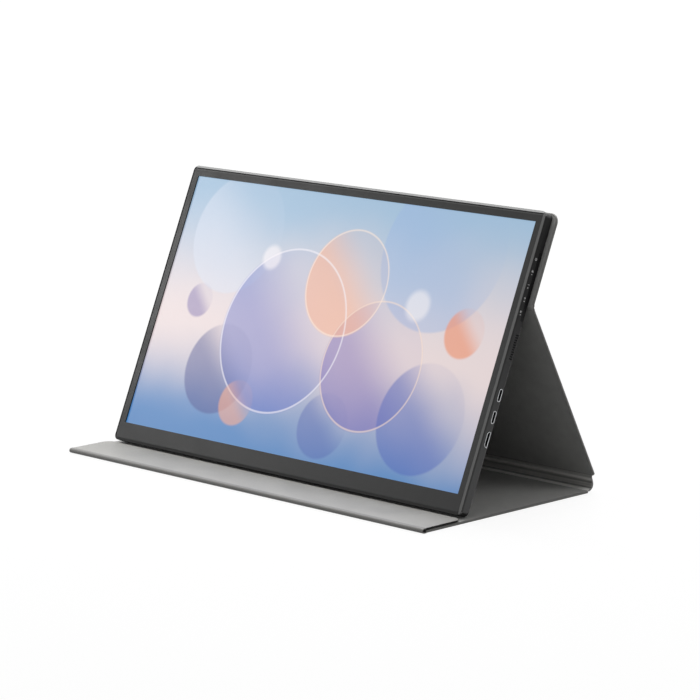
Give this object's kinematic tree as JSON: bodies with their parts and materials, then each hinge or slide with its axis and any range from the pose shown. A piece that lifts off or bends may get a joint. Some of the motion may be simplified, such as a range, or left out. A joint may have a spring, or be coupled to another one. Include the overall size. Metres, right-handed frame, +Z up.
{
  "type": "portable monitor with cover",
  "caption": "Thin portable monitor standing in a folded folio cover: hinged panels, curved spine, side sockets, keys and speaker slots",
  "frame": {"origin": "middle of the footprint, on the table", "axes": "+X to the viewer's right along the screen, -Y to the viewer, +Z up"},
  "size_m": [0.366, 0.174, 0.2026],
  "materials": {
    "cover_leather": "fine-grained, dark grey, slightly satin",
    "spine_leather": "fine-grained, dark grey, soft",
    "cover_lining": "short dark microfibre",
    "stiff_board": "grey board",
    "magnet": "nickel plated",
    "bezel_plastic": "matt black",
    "housing_metal": "blasted, dark grey",
    "black_plastic": "matt black",
    "screen_glass": "lit picture behind satin glass",
    "white_film": "white film",
    "clear_plastic": "clear acrylic",
    "led_white": "white diodes on a flexible strip",
    "sheet_steel": "plain sheet",
    "circuit_board": "green solder mask",
    "flat_cable": "polyimide",
    "screw_steel": "blackened",
    "speaker_plastic": "matt black"
  },
  "bodies": {
    "cover_base": {"base_skin": "cover_leather", "base_board": "stiff_board", "base_lining": "cover_lining"},
    "cover_flap": {"flap_skin": "cover_leather", "flap_board": "stiff_board", "flap_lining": "cover_lining", "flap_magnets": "magnet"},
    "spine": {"spine_strip": "spine_leather"},
    "lower_back": {"lower_back_skin": "cover_leather", "lower_back_board": "stiff_board", "lower_back_lining": "cover_lining"},
    "upper_back": {"upper_back_skin": "cover_leather", "upper_back_board": "stiff_board", "upper_back_lining": "cover_lining", "cover_magnets": "magnet"},
    "monitor": {"front_bezel": "bezel_plastic", "rear_housing": "housing_metal", "button_trim": "black_plastic", "lcd_panel": "screen_glass", "diffuser_films": "white_film", "light_guide": "clear_plastic", "reflector_sheet": "white_film", "led_strip": "led_white", "backlight_tray": "sheet_steel", "panel_board": "circuit_board", "panel_cable": "flat_cable", "main_board": "circuit_board", "shield_can": "sheet_steel", "board_screws": "screw_steel", "usb_c_socket_upper": "sheet_steel", "usb_c_socket_lower": "sheet_steel", "hdmi_socket": "sheet_steel", "button_board": "circuit_board", "button_cable": "flat_cable", "speaker_right": "speaker_plastic", "speaker_left": "speaker_plastic", "magnet_plate": "sheet_steel", "housing_screws": "screw_steel"},
    "power_button": {"power_button": "black_plastic"},
    "menu_button": {"menu_button": "black_plastic"},
    "down_button": {"down_button": "black_plastic"},
    "up_button": {"up_button": "black_plastic"},
    "input_button": {"input_button": "black_plastic"}
  },
  "joints": [
    {"name": "flap_fold", "type": "hinge", "parent": "cover_base", "child": "cover_flap", "pos_m": [0, -0.08528, 0.00175], "axis": [1, 0, 0], "range_deg": [0, 179.9]},
    {"name": "lay_flat", "type": "hinge", "parent": "lower_back", "child": "upper_back", "pos_m": [0, 0.02113, 0.13866], "axis": [-1, 0, 0], "range_deg": [-50.17, 0]},
    {"name": "spine_lower_fold", "type": "hinge", "parent": "cover_base", "child": "spine", "pos_m": [0, 0.08016, 0.00095], "axis": [-1, 0, 0], "range_deg": [0, 21.08]},
    {"name": "spine_upper_fold", "type": "hinge", "parent": "spine", "child": "lower_back", "pos_m": [0, 0.08541, 0.01084], "axis": [-1, 0, 0], "range_deg": [0, 97.64]},
    {"name": "monitor_pull_off", "type": "slide", "parent": "upper_back", "child": "monitor", "axis": [0, -0.9171, 0.3987], "range_m": [0, 0.04]},
    {"name": "power_button_travel", "type": "slide", "parent": "monitor", "child": "power_button", "axis": [-1, 0, 0], "range_m": [0, 0.0004], "stiffness_N_per_m": 600},
    {"name": "menu_button_travel", "type": "slide", "parent": "monitor", "child": "menu_button", "axis": [-1, 0, 0], "range_m": [0, 0.0004], "stiffness_N_per_m": 600},
    {"name": "down_button_travel", "type": "slide", "parent": "monitor", "child": "down_button", "axis": [-1, 0, 0], "range_m": [0, 0.0004], "stiffness_N_per_m": 600},
    {"name": "up_button_travel", "type": "slide", "parent": "monitor", "child": "up_button", "axis": [-1, 0, 0], "range_m": [0, 0.0004], "stiffness_N_per_m": 600},
    {"name": "input_button_travel", "type": "slide", "parent": "monitor", "child": "input_button", "axis": [-1, 0, 0], "range_m": [0, 0.0004], "stiffness_N_per_m": 600}
  ],
  "couplings": [
    {"joint": "spine_lower_fold", "follows": "lay_flat", "ratio": -0.41991},
    {"joint": "spine_upper_fold", "follows": "lay_flat", "ratio": -1.9461}
  ]
}
